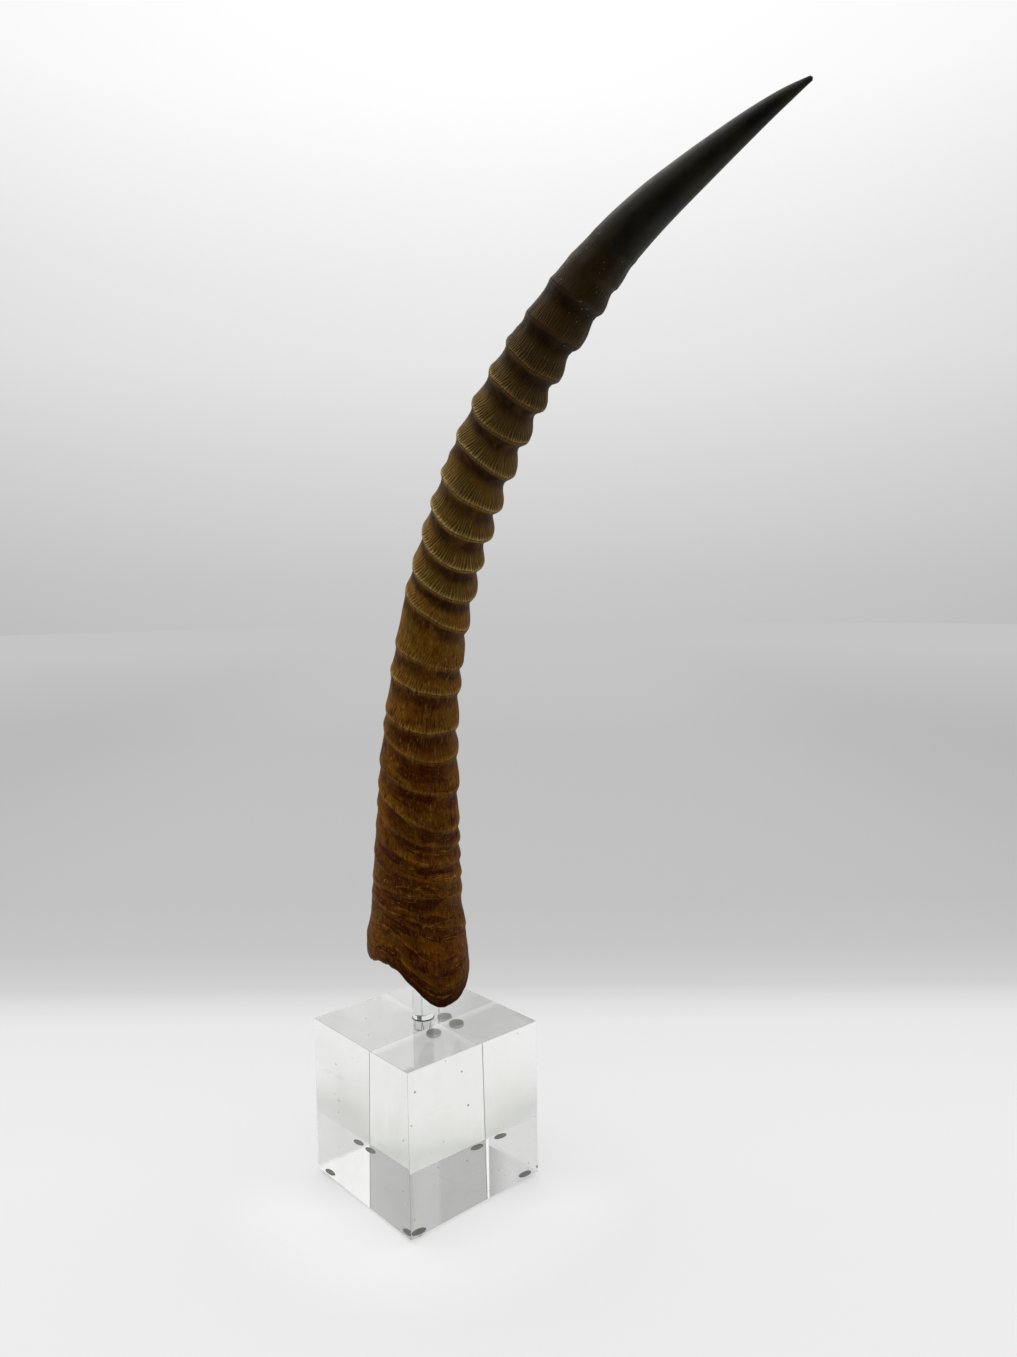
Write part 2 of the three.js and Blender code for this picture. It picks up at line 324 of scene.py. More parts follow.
def through(points, x):
    """A smooth curve through given points, read at x, as in the CAD."""
    xs, ys = np.array(points, float)[:, :2].T
    last = len(xs) - 1
    before, after = np.maximum(np.arange(last + 1) - 1, 0), np.minimum(np.arange(last + 1) + 1, last)
    slopes = (ys[after] - ys[before]) / (xs[after] - xs[before])
    x = np.asarray(x, float)
    i = np.clip(np.searchsorted(xs, x) - 1, 0, last - 1)
    span = xs[i + 1] - xs[i]
    t = np.clip((x - xs[i]) / span, 0, 1)
    t2, t3 = t * t, t * t * t
    return (
        (2 * t3 - 3 * t2 + 1) * ys[i]
        + (t3 - 2 * t2 + t) * span * slopes[i]
        + (3 * t2 - 2 * t3) * ys[i + 1]
        + (t3 - t2) * span * slopes[i + 1]
    )


def smooth_step(low, high, x):
    t = np.clip((x - low) / (high - low), 0, 1)
    return t * t * (3 - 2 * t)


def hill(x):
    return np.exp(-x * x)


def turned(azimuth, centre):
    """An azimuth as seen from centre: from half a turn before it to half a turn after it."""
    return (azimuth - centre + math.pi) % FULL_TURN - math.pi


def heading(station):
    """The axis's angle from upright."""
    bend = (BEND_EASE / BEND_RADIUS) * np.log1p(np.exp((station - BEND_STATION) / BEND_EASE))
    span = HORN_LENGTH - SWAY_START
    along = np.clip((station - SWAY_START) / span, 0, 1)
    return START_LEAN + bend + math.pi * TIP_SWAY / span * np.sin(FULL_TURN * along)


def skin_radius(station, azimuth):
    middle, half_length, height = FULLNESS
    fullness = height * hill((station - middle) / half_length)
    return through(GIRTH, station) + fullness * (0.5 + 0.5 * np.cos(azimuth - PROUD_AZIMUTH))


def axis_table():
    """Reach and height at every whole station, from a little below the rim's lowest point."""
    up = heading(np.arange(HORN_LENGTH) + 0.5)
    down = heading(-np.arange(BELOW_RIM) - 0.5)
    reach = np.concatenate([-np.cumsum(np.sin(down))[::-1], [0], np.cumsum(np.sin(up))]) + AXIS_REACH
    height = np.concatenate([-np.cumsum(np.cos(down))[::-1], [0], np.cumsum(np.cos(up))]) + AXIS_HEIGHT
    return np.arange(-BELOW_RIM, HORN_LENGTH + 1), reach, height


AXIS = axis_table()


def beside_axis(station, azimuth, radius):
    """Points at a distance from the axis. Azimuth 0 is the side that the horn bends to."""
    reach = np.interp(station, AXIS[0], AXIS[1])
    height = np.interp(station, AXIS[0], AXIS[2])
    angle = heading(station)
    outward, sideways = radius * np.cos(azimuth), radius * np.sin(azimuth)
    along = reach + outward * np.cos(angle)
    x = ROD_OFFSET[0] + along * math.cos(BEND_AZIMUTH) - sideways * math.sin(BEND_AZIMUTH)
    y = ROD_OFFSET[1] + along * math.sin(BEND_AZIMUTH) + sideways * math.cos(BEND_AZIMUTH)
    return np.stack([x, y, height - outward * np.sin(angle)], -1)


def cell_noise(azimuth, along, cells, length, seed):
    """Smooth random values in -1..1 that close up round the horn, in cells of a length in mm."""
    table = np.random.default_rng(seed).uniform(-1, 1, (int(NOISE_LENGTH / length) + 4, cells))
    u = (azimuth / FULL_TURN) % 1 * cells
    v = (np.asarray(along) - NOISE_START) / length
    i, j = np.floor(u).astype(int), np.floor(v).astype(int)
    fu, fv = smooth_step(0, 1, u - i), smooth_step(0, 1, v - j)
    left, right = i % cells, (i + 1) % cells
    low = table[j, left] * (1 - fu) + table[j, right] * fu
    high = table[j + 1, left] * (1 - fu) + table[j + 1, right] * fu
    return low * (1 - fv) + high * fv


def layered(azimuth, along, layers):
    return sum(strength * cell_noise(azimuth, along, *cells) for strength, *cells in layers)


def rim_station(azimuth):
    """The rim's station: low at the lobe, high and frayed on the other side, with a corner at its left."""
    turn = turned(azimuth, LOBE_AZIMUTH)
    smooth = RIM_RISE * (1 - hill(turn / np.where(turn < 0, *LOBE_WIDTHS)))
    corner, drop, half_width = RIM_CORNER
    smooth = smooth - drop * hill(turned(azimuth, corner) / half_width)
    fray = LOBE_FRAY + (1 - LOBE_FRAY) * smooth_step(*FRAYED_EDGE, smooth)
    return smooth + fray * (layered(azimuth, 0, FRAY) + FRAY_RISE)


def crest_dips(row):
    """How steeply the crest nearest to a row dips towards azimuth 0, and towards a quarter turn from it."""
    tilts = [(ring[0], ring[2], math.radians(ring[3])) for ring in RINGS]
    ahead = [(station, steepness * math.cos(azimuth)) for station, steepness, azimuth in tilts]
    aside = [(station, steepness * math.sin(azimuth)) for station, steepness, azimuth in tilts]
    return through(ahead, row), through(aside, row)


def row_station(row, azimuth):
    """A row's station on each side: the rings dip, and the lowest rows turn to follow the rim."""
    full = np.maximum(row, FIRST_FULL_ROW)
    radius = through(GIRTH, full)
    ahead, aside = crest_dips(full)
    dipped = full - radius * (ahead * np.cos(azimuth) + aside * np.sin(azimuth))
    curl = CREST_CURL * smooth_step(*CURL_FROM, full) * smooth_step(*CURL_TO, full)
    dipped = dipped - radius * curl * np.cos(2 * (azimuth - FRONT_AZIMUTH))
    share = np.clip(row / FIRST_FULL_ROW, 0, 1)
    return rim_station(azimuth) * (1 - share) + dipped * share


def crest_slope(row, azimuth):
    """How far the crest nearest to a row climbs per mm of arc: the striae stand square to it."""
    ahead, aside = crest_dips(np.maximum(row, FIRST_FULL_ROW))
    return ahead * np.sin(azimuth) - aside * np.cos(azimuth)


def ring_marks(row, azimuth):
    """For each point: the ring's height there, mm above the last crest and below the next, the nearest
    ring's size and the strength of its pale line, and the distance between the two crests."""
    starts, heights, lines = (np.array([ring[i] for ring in RINGS], float) for i in (0, 1, 4))
    k = np.clip(np.searchsorted(starts, row + 1e-6, side="right") - 1, 0, len(RINGS) - 2)
    before_first = row < starts[0]
    ringless = before_first | (row > LAST_SPAN_END)
    span = starts[k + 1] - starts[k]
    t = np.clip((row - starts[k]) / span, 0, 1)
    next_share = smooth_step(NEXT_RING_SHARE, 1, t)
    size = heights[k] * (1 - next_share) + heights[k + 1] * next_share
    line = np.where(t > 0.5, lines[k + 1], lines[k])
    tempers = np.random.default_rng(TEMPER_SEED).uniform(-TEMPER, TEMPER, len(RINGS))
    temper = tempers[k] * (1 - next_share) + tempers[k + 1] * next_share
    proud = np.cos(azimuth - PROUD_AZIMUTH)
    front = np.cos(azimuth - FRONT_AZIMUTH)
    roundness = PLAIN_ROUNDNESS + PROUD_ROUNDNESS * proud + temper + layered(azimuth, row, ROUNDNESS_DRIFT)
    roundness = np.clip(roundness, 0, 1)
    share = LOW_SIDE_SHARE + SIDE_SWING * proud + FRONT_EXTRA * np.maximum(front, 0)
    share = share + layered(azimuth, row, HEIGHT_DRIFT)
    profile = through(FLARED, t) * (1 - roundness) + through(ROUNDED, t) * roundness
    height = np.where(ringless, 0, size * share * np.clip(profile, 0, PROFILE_LIMIT))
    above = np.where(ringless, FAR, row - starts[k])
    below = np.where(before_first, starts[0] - row, starts[k + 1] - row)
    below = np.where(row > LAST_SHADED_ROW, FAR, below)
    return height, above, below, size, line, span


def horn_rows():
    """The rows of the skin from rim to tip: close together at each crest, wider apart between."""
    starts = [ring[0] for ring in RINGS[:-1]]
    rows = RIM_ROWS + list(np.linspace(BASE_START, starts[0], BASE_ROWS)[:-1])
    for start, end in zip(starts[:-1], starts[1:]):
        scale = min(1.0, (end - start) / FULL_SPAN)
        above = [start + scale * a for a in ABOVE_CREST]
        below = [end - scale * b for b in BELOW_CREST]
        gap = below[0] - above[-1]
        count = max(1, round(gap / PLAIN_STEP))
        between = [above[-1] + gap * i / count for i in range(1, count)]
        rows += above + between + below
    tip = np.linspace(LAST_SPAN_END, HORN_LENGTH - TIP_POINT, round((HORN_LENGTH - LAST_SPAN_END) / TIP_STEP))
    return np.array(rows + list(tip))


def horn_skin(azimuth):
    """Points of the outer skin, row by row, and the marks and places that the material reads."""
    row, az = np.meshgrid(horn_rows(), azimuth, indexing="ij")
    height, above, below, size, line, span = ring_marks(row, az)

    # striae are strongest in the few millimetres above each crest, where they notch it
    striae = layered(az, row, STRIAE_LAYERS)
    big = smooth_step(*BIG_RING, size)
    anywhere, on_small, on_big = FRINGE_SHARES
    fringe = anywhere + on_small * smooth_step(*FRINGE_FROM, row) * (1 - big) + on_big * big
    fringe = hill(above / STRIAE_REACH) * fringe * smooth_step(*FRINGE_TO, row)
    plain_depth, fringe_depth, tip_depth = STRIAE_DEPTHS
    striae_depth = (plain_depth + fringe_depth * fringe) * smooth_step(*STRIAE_TO, row) + tip_depth
    at_crest = hill(np.minimum(above, below) / NOTCH_HALF_LENGTH)
    notch_share = SMALL_RING_NOTCH + (1 - SMALL_RING_NOTCH) * big
    notch = NOTCH_DEPTH * striae * at_crest * notch_share * smooth_step(*NOTCH_TO, row)

    # slow unevenness, the fine growth lines of the base, and the swellings
    lumps = layered(az, row, LUMPS) * (smooth_step(*LUMPS_TO, row) * (1 - TIP_LUMPS) + TIP_LUMPS)
    growth = layered(az, row, GROWTH) * smooth_step(*GROWTH_TO, row)
    swelling = 0
    for at, side, rise, half_length, half_width in SWELLINGS:
        around = hill(turned(az, math.radians(side)) / math.radians(half_width))
        swelling = swelling + rise * hill((row - at) / half_length) * around
    # crests aren't quite plane: they sag and lift a little on the way round
    wave = layered(az, row, WAVE) * (smooth_step(*WAVE_FROM, row) * smooth_step(*WAVE_TO, row))

    station = row_station(row, az) + wave + notch
    radius = skin_radius(station, az) + height + swelling + lumps + growth + striae * striae_depth
    radius = radius - RIM_ROUNDING * hill(row / RIM_ROUNDING_LENGTH)
    points = beside_axis(station, az, radius)
    # the striae's own azimuth: it leans over with the crest, and comes back before the next one
    flat_radius = through(GIRTH, row)
    reach = np.minimum(above, LEAN_REACH) * smooth_step(*LEAN_END, above / span)
    leant = az + crest_slope(row, az) * reach / flat_radius
    ragged = hill(row / RAGGED_HALF_LENGTH) * smooth_step(*RAGGED_EDGE, rim_station(az))
    marks = {
        "row": row, "above": above, "below": below, "size": size, "line": line,
        "fringe": fringe, "ragged": ragged, "inside": np.zeros_like(row),
    }
    places = {
        "unbent": np.stack([flat_radius * np.cos(az), flat_radius * np.sin(az), row], -1),
        "grain": np.stack([flat_radius * np.cos(leant), flat_radius * np.sin(leant), row], -1),
    }
    return points, marks, places


def socket_circle(azimuth, height):
    """A circle of the socket, turned so that its points lie beside the horn's own."""
    x = ROD_OFFSET[0] + SOCKET_RADIUS * np.cos(azimuth + BEND_AZIMUTH)
    y = ROD_OFFSET[1] + SOCKET_RADIUS * np.sin(azimuth + BEND_AZIMUTH)
    return np.stack([x, y, np.full_like(azimuth, height)], -1)


def horn_hollow(azimuth):
    """The open base: the socket that holds the rod, widening downwards to a thin wall at the rim."""
    edge_station = rim_station(azimuth)
    lip = beside_axis(edge_station + LIP_RISE, azimuth, skin_radius(edge_station, azimuth) - LIP_WALL)
    inner_station = edge_station + RIM_EDGE
    inner = beside_axis(inner_station, azimuth, skin_radius(inner_station, azimuth) - RIM_WALL)
    mouth = socket_circle(azimuth, SOCKET_MOUTH)
    rings = [socket_circle(azimuth, SOCKET_TOP)]
    for k in range(HOLLOW_ROWS, -1, -1):
        share = k / HOLLOW_ROWS
        ring = inner * (1 - share) + mouth * share
        centre = ring.mean(axis=0)
        wobble = HOLLOW_WOBBLE * math.sin(share * math.pi)
        wobble = wobble * cell_noise(azimuth, share * HOLLOW_DEPTH, *HOLLOW_CELLS)
        rings.append(centre + (ring - centre) * (1 + wobble[:, None]))
    rings.append(lip)
    return np.array(rings)


# what the hollow's points say where the skin's have a mark of their own
INSIDE_MARKS = {"row": 20, "above": FAR, "below": FAR, "inside": 1}


def build_horn():
    azimuth = np.arange(COLUMNS) * FULL_TURN / COLUMNS
    skin, marks, places = horn_skin(azimuth)
    hollow = horn_hollow(azimuth)
    rings = np.concatenate([hollow, skin])
    pole_in = np.array([*ROD_OFFSET, SOCKET_TOP])
    pole_out = beside_axis(np.array(float(HORN_LENGTH)), np.array(0.0), np.array(0.0))
    points = np.concatenate([pole_in[None], rings.reshape(-1, 3), pole_out[None]])

    def at(ring, column):
        return 1 + ring * COLUMNS + column % COLUMNS

    i = np.arange(COLUMNS)
    last = len(rings) - 1
    quads = np.concatenate(
        [np.stack([at(r, i), at(r, i + 1), at(r + 1, i + 1), at(r + 1, i)], -1) for r in range(last)]
    )
    caps = [(0, at(0, c + 1), at(0, c)) for c in range(COLUMNS)]
    caps += [(len(points) - 1, at(last, c), at(last, c + 1)) for c in range(COLUMNS)]

    mesh = bpy.data.meshes.new("impala_horn")
    mesh.from_pydata(in_row_frame(points).tolist(), [], quads.tolist() + caps)
    mesh.polygons.foreach_set("use_smooth", [True] * len(mesh.polygons))
    for name, values in marks.items():
        inner = np.full((len(hollow), COLUMNS), INSIDE_MARKS.get(name, 0), float)
        whole = np.concatenate([inner, values]).ravel()
        whole = np.concatenate([whole[:1], whole, whole[-1:]])
        mesh.attributes.new(name, "FLOAT", "POINT").data.foreach_set("value", whole.astype(np.float32))
    for name, values in places.items():
        whole = np.concatenate([hollow - np.array([0, 0, AXIS_HEIGHT]), values]).reshape(-1, 3)
        whole = np.concatenate([whole[:1], whole, [[0, 0, HORN_LENGTH]]])
        stored = mesh.attributes.new(name, "FLOAT_VECTOR", "POINT")
        stored.data.foreach_set("vector", whole.astype(np.float32).ravel())
    mesh.update()
    horn = bpy.data.objects.new("impala_horn", mesh)
    scene.collection.objects.link(horn)
    return horn


# ---- the horn's material ----

# place along the horn from rim (0) to tip (1), and the colour there as it looks on a screen
BODY_TONES = [
    (0.0, 106, 56, 8), (0.12, 128, 70, 10), (0.24, 138, 80, 12), (0.38, 140, 88, 19), (0.52, 138, 94, 30),
    (0.64, 120, 84, 36), (0.71, 88, 63, 34), (0.765, 74, 50, 27), (0.82, 29, 28, 24), (0.88, 24, 23, 19),
    (1.0, 21, 20, 16),
]
DARK_TONES = [(0.0, 54, 7, 0), (0.25, 60, 9, 0), (0.5, 54, 15, 2), (0.72, 36, 18, 8), (0.84, 14, 12, 10)]
# pale tones: paler patches, ridges and growth lines, and the painted highlight on the crests
LIGHT_TONES = [
    (0.0, 170, 122, 48), (0.25, 204, 156, 78), (0.5, 234, 200, 140), (0.66, 184, 146, 92),
    (0.74, 114, 94, 66), (0.82, 42, 39, 34),
]
OLIVE_TONES = [(0.0, 100, 68, 12), (0.45, 112, 88, 22), (0.75, 52, 46, 29)]
UNDERSIDE_TINT_AND_SHADE_TONES = [(0.3, 118, 66, 14), (0.6, 108, 66, 18), (0.74, 60, 40, 20)]
SLOPE_TONES = [(0.3, 124, 86, 22), (0.6, 120, 98, 48), (0.74, 66, 57, 36)]
RAGGED_TONE = srgb(168, 126, 66)
FLECK_TONE = srgb(150, 140, 118)
INSIDE_TONE = srgb(60, 44, 26)
# what the whole colour is multiplied by, on most sides and on the side with the painted sheen
PLAIN_TINT = (0.76, 0.76, 0.56, 1.0)
PAINTED_SHEEN_TINT = (0.98, 1.0, 0.78, 1.0)

STRIAE = 72.0
STRIAE_WANDER = 15.0
BELOW_SCALE = 1.8
BUMP_HEIGHT = 0.0009
HORN_IOR = 1.5

# rows between which a colour comes in: none of it at the first, all of it at the second
LOW_END = (125.0, 60.0)
LOWER_HALF = (215.0, 165.0)
STAINED = (168.0, 108.0)
FLECKS_FROM, FLECKS_TO = (296.0, 318.0), (372.0, 350.0)
PAINTED_SHEEN_ROWS = (330.0, 290.0)


def side_of(t, outward, azimuth):
    """1 on the side of an azimuth, -1 on the other."""
    return t.vector("DOT_PRODUCT", outward, (math.cos(azimuth), math.sin(azimuth), 0.0))


def horn_material():
    material, t = new_material("horn_keratin")
    unbent, grain = (t.attribute(name, "Vector") for name in ("unbent", "grain"))
    names = ("row", "above", "below", "size", "line", "fringe", "ragged", "inside")
    row, above, below, size, line, fringe, ragged, inside = (t.attribute(name) for name in names)
    outward = t.vector("NORMALIZE", t.vector("MULTIPLY", unbent, (1.0, 1.0, 0.0)))

    blotches = t.noise(unbent, 0.06, 3, 0.55)
    patches = t.stretched(unbent, 0.16, 0.11, 3, 0.6, 0.5)
    mottle = t.noise(unbent, 0.3, 4, 0.62, 0.4)
    ticks = t.stretched(unbent, 1.3, 0.3, 2, 0.6)
    strokes = t.stretched(unbent, 1.05, 0.2, 2, 0.6)
    bands = t.stretched(unbent, 0.04, 0.34, 1.6, 0.45, 0.8)
    belts = t.stretched(unbent, 0.07, 0.14, 2, 0.5, 0.4)
    grit = t.noise(unbent, 1.1, 3, 0.6)
    low_end = t.step(row, *LOW_END)
    lower_half = t.step(row, *LOWER_HALF)

    # fine ribs at a nearly even spacing round the horn, wandering and fading a little
    across, sideways = (t.add("ShaderNodeSeparateXYZ", {0: grain}, axis) for axis in "XY")
    phase = t.times(t.math("ARCTAN2", sideways, across), STRIAE)
    phase = t.plus(phase, t.times(t.stretched(grain, 0.32, 0.1, 2, 0.5), STRIAE_WANDER))
    strength = t.spread(t.stretched(grain, 0.5, 0.16, 2, 0.5), 0.3, 0.62, 0.03, 0.2)
    fine = t.plus(t.times(t.math("SINE", phase), strength), 0.5)

    # colour along the horn, moved up and down a little so that no step shows
    place = t.plus(row, t.spread(mottle, 0.3, 0.7, -12, 12))
    along = t.math("DIVIDE", place, float(HORN_LENGTH))
    tone_lists = (BODY_TONES, DARK_TONES, LIGHT_TONES, OLIVE_TONES, UNDERSIDE_TINT_AND_SHADE_TONES, SLOPE_TONES)
    body, dark, light, olive, underside_tint_and_shade, slope_tone = (t.screen_ramp(along, stops) for stops in tone_lists)
    colour = t.mix(t.spread(blotches, 0.4, 0.64, 0.0, 0.7), body, olive)
    colour = t.mix(t.spread(mottle, 0.56, 0.76, 0.0, 0.25), colour, light)
    colour = t.mix(t.spread(mottle, 0.47, 0.3, 0.0, 0.5), colour, dark)

    # the valley is dark and reddish in patches, a few millimetres under the crest above it: partly its own
    # reddish tint, partly painted shade under the crest
    deep = t.times(t.step(below, 9.5, 4.5), t.step(below, 0.7, 2.3), t.spread(patches, 0.34, 0.56, 0.5, 1.0))
    colour = t.mix(t.times(deep, t.spread(size, 0.4, 1.7, 0.3, 0.96)), colour, dark)
    # the crest's underside is painted darker and redder: partly its own tint, partly painted shade on the
    # side facing down
    under = t.times(t.step(below, 2.2, 0.9), t.spread(size, 0.5, 1.7))
    colour = t.mix(t.times(under, t.spread(patches, 0.3, 0.6, 0.9, 0.35), 0.6), colour, underside_tint_and_shade)

    # striae: dark grooves and pale ridges on the slope above each crest
    colour = t.mix(t.times(fringe, 0.45), colour, slope_tone)
    colour = t.mix(t.times(t.spread(fine, 0.53, 0.66, 0.0, 0.3), fringe), colour, light)
    colour = t.mix(t.times(t.spread(fine, 0.51, 0.38, 0.0, 0.56), fringe), colour, dark)

    # the crest itself is a thin pale line, partly worn paler and partly a painted highlight, uneven and
    # broken, notched by the striae, with a fainter painted halo of highlight
    nearest = t.math("MINIMUM", above, t.times(below, BELOW_SCALE))
    nearest = t.math("SUBTRACT", nearest, t.spread(fine, 0.42, 0.62, -0.25, 0.5))
    crest = t.times(t.step(nearest, 1.0, 0.2), t.spread(patches, 0.36, 0.56, 0.25, 1.0), line)
    colour = t.mix(t.times(crest, 0.95), colour, light)
    colour = t.mix(t.times(t.step(nearest, 2.4, 0.5, 0.0, 0.24), line), colour, light)

    # the base: dark red patches with short ticks in them, and a few thin pale growth lines
    reach = t.plus(belts, t.step(side_of(t, outward, STAIN_AZIMUTH), 0.2, 0.95, -0.07, 0.08))
    stain = t.times(t.step(reach, 0.45, 0.6), t.spread(bands, 0.4, 0.56, 0.45, 1.0))
    stain = t.times(stain, t.spread(ticks, 0.38, 0.56, 0.5, 1.0), t.step(row, *STAINED))
    colour = t.mix(stain, colour, dark)
    thread = t.math("ABSOLUTE", t.math("SUBTRACT", bands, 0.5))
    thread = t.times(t.spread(thread, 0.014, 0.003), t.spread(mottle, 0.44, 0.6, 0.0, 0.8))
    colour = t.mix(t.times(thread, low_end), colour, light)
    stroked = t.times(t.spread(patches, 0.4, 0.58), lower_half)
    colour = t.mix(t.times(t.spread(strokes, 0.5, 0.38, 0.0, 0.72), stroked), colour, dark)
    colour = t.mix(t.times(t.spread(ticks, 0.57, 0.72, 0.0, 0.34), lower_half), colour, light)
    colour = t.mix(t.step(row, 9.0, 0.5, 0.0, 0.45), colour, dark)
    colour = t.mix(t.times(ragged, t.spread(ticks, 0.4, 0.6, 0.2, 0.9)), colour, RAGGED_TONE)

    # a few pale flecks where the rings end
    fleck = t.times(t.spread(t.dots(unbent, 0.36), 0.14, 0.07), t.spread(blotches, 0.45, 0.5, 0.0, 0.7))
    near_end = t.times(t.spread(row, *FLECKS_FROM), t.spread(row, *FLECKS_TO))
    colour = t.mix(t.times(fleck, near_end), colour, FLECK_TONE)
    colour = t.mix(inside, colour, INSIDE_TONE)

    # painted sheen: the side away from the bend is painted paler and greyer, as the bright studio's sheen on
    # that side
    pale = t.times(t.spread(side_of(t, outward, PAINTED_SHEEN_AZIMUTH), 0.0, 0.95), t.spread(row, *PAINTED_SHEEN_ROWS))
    colour = t.tinted(colour, t.mix(pale, PLAIN_TINT, PAINTED_SHEEN_TINT))

    # the tip is worn smoother and shinier than the rest
    roughness = t.spread(mottle, 0.3, 0.7, 0.36, 0.56)
    roughness = t.math("SUBTRACT", roughness, t.spread(row, 340.0, 375.0, 0.0, 0.08))
    roughness = t.plus(roughness, t.times(inside, 0.3))
    gloss = t.plus(t.spread(row, 330.0, 380.0, 0.03, 0.14), t.spread(row, 120.0, 240.0, 0.0, 0.03))

    relief = t.times(fine, t.plus(t.times(fringe, 1.6), 0.1))
    relief = t.plus(relief, t.times(grit, t.spread(row, 380.0, 330.0, 0.04, 0.3)))
    relief = t.plus(relief, t.times(t.plus(bands, t.times(ticks, 0.35)), low_end))
    relief = t.plus(relief, t.times(t.plus(mottle, strokes), t.times(lower_half, 0.5)))
    bump = t.add("ShaderNodeBump", {"Strength": 1.0, "Distance": BUMP_HEIGHT, "Height": relief})
    t.cover(
        {
            "Base Color": colour, "Roughness": roughness, "IOR": HORN_IOR,
            "Specular IOR Level": gloss, "Normal": bump,
        }
    )
    return material


# ---- the stand's materials ----

ACRYLIC_IOR = 1.49
CLEAR_TINT = (0.99, 0.994, 0.986, 1.0)
SMEAR_TINT = (0.92, 0.928, 0.91, 1.0)
SPECK_TINT = (0.25, 0.25, 0.22, 1.0)
# the least and most clearness that a film of haze takes away, in shares of the haze
HAZE_RANGE = (0.4, 2.5)
DUST = 0.04
# grey for the cement bead, which is partly a painted dark arc, and for the painted dark line down the far
# edge
CEMENT_AND_PAINTED_DARK_TONE = srgb(92, 94, 88)
RUBBER_TONES = (srgb(124, 125, 115), srgb(142, 143, 132))


def acrylic_material(name, haze=0.007, sheen=0.0, specks=True):
    """Clear acrylic: plain transmission, with a film of dust, smudges and a few specks in its surface."""
    material, t = new_material(name)
    place = t.add("ShaderNodeTexCoord", output="Object")
    cloud = t.noise(place, 38.0, 4, 0.6, 0.3)
    wipe = t.stretched(place, 180.0, 40.0, 2, 0.5)
    film = t.times(t.spread(cloud, 0.42, 0.72), t.spread(wipe, 0.3, 0.7, 0.4, 1.0))
    clear = t.spread(film, 0.0, 1.0, *(1.0 - haze * share for share in HAZE_RANGE))
    smear = t.times(t.spread(cloud, 0.48, 0.6), t.spread(wipe, 0.4, 0.62))
    tint = t.mix(smear, CLEAR_TINT, SMEAR_TINT)
    if specks:
        rare = t.spread(t.noise(place, 55.0, 1, 0.5), 0.53, 0.57)
        speck = t.times(t.spread(t.dots(place, 95.0), 0.068, 0.04), rare)
        tint = t.mix(speck, tint, SPECK_TINT)
        clear = t.math("SUBTRACT", clear, t.times(speck, 0.5))
    # dust lies on what faces up
    upward = t.add("ShaderNodeSeparateXYZ", {0: t.add("ShaderNodeNewGeometry", output="Normal")}, "Z")
    clear = t.math("SUBTRACT", clear, t.spread(upward, 0.98, 0.99, 0.0, DUST))
    t.cover(
        {
            "Base Color": tint, "Roughness": 0.0, "IOR": ACRYLIC_IOR, "Transmission Weight": clear,
            "Sheen Weight": sheen, "Sheen Roughness": 0.3,
        }
    )
    return material


def edge_material():
    """The broken edges of the block are rougher than its faces, so they catch a little light."""
    material, t = new_material("acrylic_edge")
    t.cover(
        {
            "Base Color": (0.93, 0.94, 0.92, 1.0), "Roughness": 0.3, "IOR": ACRYLIC_IOR,
            "Transmission Weight": 0.75,
        }
    )
    return material


def cement_and_painted_dark_material():
    """Grey for the bead round the foot of the rod, partly cement and partly a painted dark arc, and for the
    painted dark line down the far edge.
    """
    material, t = new_material("cement_with_painted_dark")
    t.cover({"Base Color": CEMENT_AND_PAINTED_DARK_TONE, "Roughness": 0.4, "IOR": 1.5})
    return material


def rubber_material():
    material, t = new_material("bumper_rubber")
    grain = t.noise(t.add("ShaderNodeTexCoord", output="Object"), 900.0, 3, 0.6)
    colour = t.mix(t.spread(grain, 0.35, 0.65), *RUBBER_TONES)
    bump = t.add("ShaderNodeBump", {"Strength": 0.3, "Distance": 0.0001, "Height": grain})
    t.cover({"Base Color": colour, "Roughness": 0.62, "IOR": 1.5, "Normal": bump})
    return material


# ---- the stand's shapes, in millimetres where no name says otherwise ----

SHARP_ANGLE = math.radians(30)
ROD_RADIUS = 5.0
ROD_CHAMFER = 0.5
ROD_SEGMENTS = 96
BORE_GAP = 0.12
BORE_DEPTH = 12
BORE_EDGE = 0.25
EDGE = 0.08
# square metres: more than any broken edge of the cube, less than any side
LARGEST_EDGE_AREA = 1e-3
# how far from the cube's far upright edge the painted dark line starts and ends
PAINTED_DARK_LINE = (0.1, 0.28)
BEAD_AZIMUTH = math.radians(-45)
BEAD_REACH = math.radians(92)
BEAD_GAP = 0.02
BEAD_WIDTH = 0.4
BEAD_HEIGHT = 0.45
FOOT_ROLL = 1.0
FOOT_ROLL_STEPS = 4
FOOT_SEGMENTS = 48
# how far the foot's top stands in from its side, the bevel round it, and its reach into the cube
FOOT_INSET = 0.25
FOOT_BEVEL = (0.1, 0.06)
FOOT_BITE = 0.04
# places of the materials in the cube's list
CEMENT_AND_PAINTED_DARK_INDEX = 1
EDGE_INDEX = 2


def mesh_object(name, bm, materials):
    mesh = bpy.data.meshes.new(name)
    bm.normal_update()
    bm.to_mesh(mesh)
    bm.free()
    for material in materials:
        mesh.materials.append(material)
    mesh.polygons.foreach_set("use_smooth", [True] * len(mesh.polygons))
    mesh.set_sharp_from_angle(angle=SHARP_ANGLE)
    made = bpy.data.objects.new(name, mesh)
    scene.collection.objects.link(made)
    return made


def azimuth_from(centre, point):
    return math.atan2(point.y - centre[1], point.x - centre[0])


